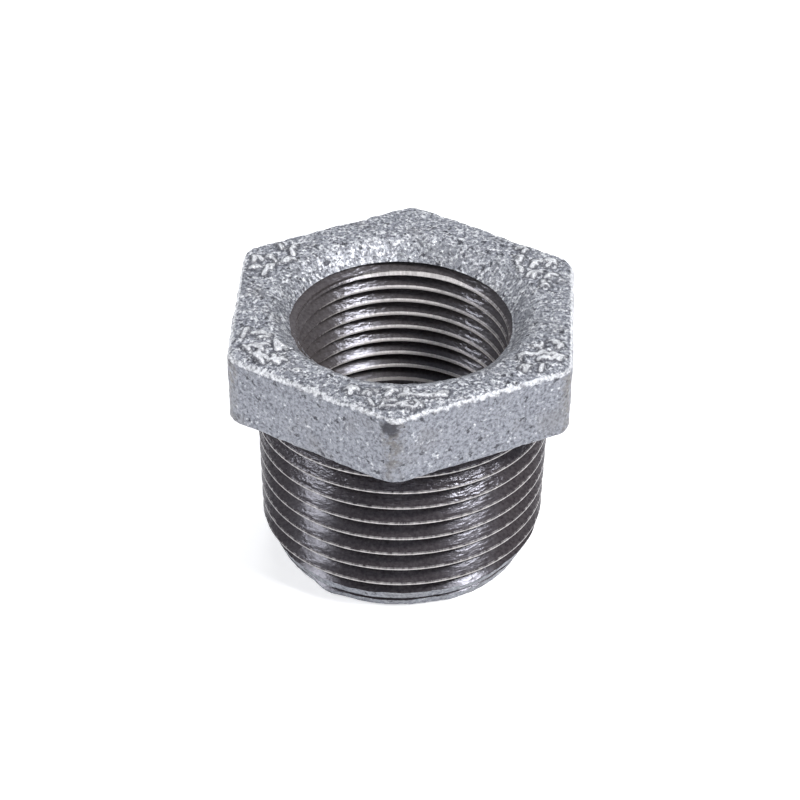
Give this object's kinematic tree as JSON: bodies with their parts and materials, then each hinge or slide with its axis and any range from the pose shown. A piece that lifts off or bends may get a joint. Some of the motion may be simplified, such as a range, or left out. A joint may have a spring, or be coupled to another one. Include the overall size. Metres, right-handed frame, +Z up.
{
  "type": "hexagon reducing bushing",
  "caption": "Galvanized pipe reducer: hexagon bushing with a tapered male pipe thread outside and a smaller tapered female pipe thread inside.",
  "frame": {"origin": "middle of the nose's end face, which the part stands on", "axes": "+Z up the common axis of both threads to the hexagon's face; two of the hexagon's corners lie on the Y axis and two of its flats face +X and -X"},
  "size_m": [0.038, 0.0432, 0.0316],
  "materials": {
    "galvanized_iron": "hot-dip galvanized as-cast head and nose, threads cut bright and dark with cutting oil"
  },
  "bodies": {
    "root": {"reducing_bushing": "galvanized_iron"}
  },
  "joints": []
}
